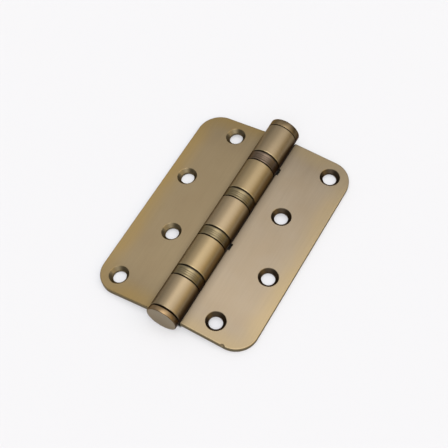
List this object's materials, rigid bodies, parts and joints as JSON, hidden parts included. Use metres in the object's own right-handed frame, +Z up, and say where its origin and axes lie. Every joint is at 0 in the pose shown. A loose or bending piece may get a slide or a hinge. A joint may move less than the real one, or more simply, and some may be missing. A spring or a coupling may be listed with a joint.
{
  "type": "ball bearing hinge",
  "caption": "Round-cornered butt hinge with a rolled, interlocking knuckle barrel, thrust ball bearings between the knuckles, button tips and countersunk screw holes.",
  "frame": {"origin": "on the floor, under the middle of the barrel, with the hinge lying open", "axes": "+Y along the barrel to the top tip, +X to the two-knuckle leaf, +Z up from the floor through the barrel"},
  "size_m": [0.0744, 0.1063, 0.014],
  "materials": {
    "leaf_bronze": "antique bronze plating, satin, brushed lengthwise",
    "tip_bronze": "antique bronze plating, turned",
    "shell_bronze": "dark antique bronze, turned",
    "pin_steel": "ground",
    "race_steel": "hardened and ground",
    "ball_steel": "polished"
  },
  "bodies": {
    "left_side": {"leaf_left": "leaf_bronze", "hinge_pin": "pin_steel", "top_tip": "tip_bronze", "bottom_tip": "tip_bronze", "bearing_1_upper_race": "race_steel", "bearing_2_shell": "shell_bronze", "bearing_2_lower_race": "race_steel", "bearing_3_upper_race": "race_steel", "bearing_4_shell": "shell_bronze", "bearing_4_lower_race": "race_steel"},
    "right_side": {"leaf_right": "leaf_bronze", "bearing_1_shell": "shell_bronze", "bearing_1_lower_race": "race_steel", "bearing_2_upper_race": "race_steel", "bearing_3_shell": "shell_bronze", "bearing_3_lower_race": "race_steel", "bearing_4_upper_race": "race_steel"},
    "ball_ring_1": {"bearing_1_balls": "ball_steel"},
    "ball_ring_2": {"bearing_2_balls": "ball_steel"},
    "ball_ring_3": {"bearing_3_balls": "ball_steel"},
    "ball_ring_4": {"bearing_4_balls": "ball_steel"}
  },
  "joints": [
    {"name": "leaf_swing", "type": "hinge", "parent": "left_side", "child": "right_side", "pos_m": [0, 0, 0.007], "axis": [0, 1, 0], "range_deg": [-189.99, 80.01]},
    {"name": "ball_orbit_1", "type": "hinge", "parent": "left_side", "child": "ball_ring_1", "pos_m": [0, 0, 0.007], "axis": [0, 1, 0], "range_deg": [-95.1, 40.1]},
    {"name": "ball_orbit_2", "type": "hinge", "parent": "left_side", "child": "ball_ring_2", "pos_m": [0, 0, 0.007], "axis": [0, 1, 0], "range_deg": [-95.1, 40.1]},
    {"name": "ball_orbit_3", "type": "hinge", "parent": "left_side", "child": "ball_ring_3", "pos_m": [0, 0, 0.007], "axis": [0, 1, 0], "range_deg": [-95.1, 40.1]},
    {"name": "ball_orbit_4", "type": "hinge", "parent": "left_side", "child": "ball_ring_4", "pos_m": [0, 0, 0.007], "axis": [0, 1, 0], "range_deg": [-95.1, 40.1]}
  ],
  "couplings": [
    {"joint": "ball_orbit_1", "follows": "leaf_swing", "ratio": 0.5},
    {"joint": "ball_orbit_2", "follows": "leaf_swing", "ratio": 0.5},
    {"joint": "ball_orbit_3", "follows": "leaf_swing", "ratio": 0.5},
    {"joint": "ball_orbit_4", "follows": "leaf_swing", "ratio": 0.5}
  ]
}
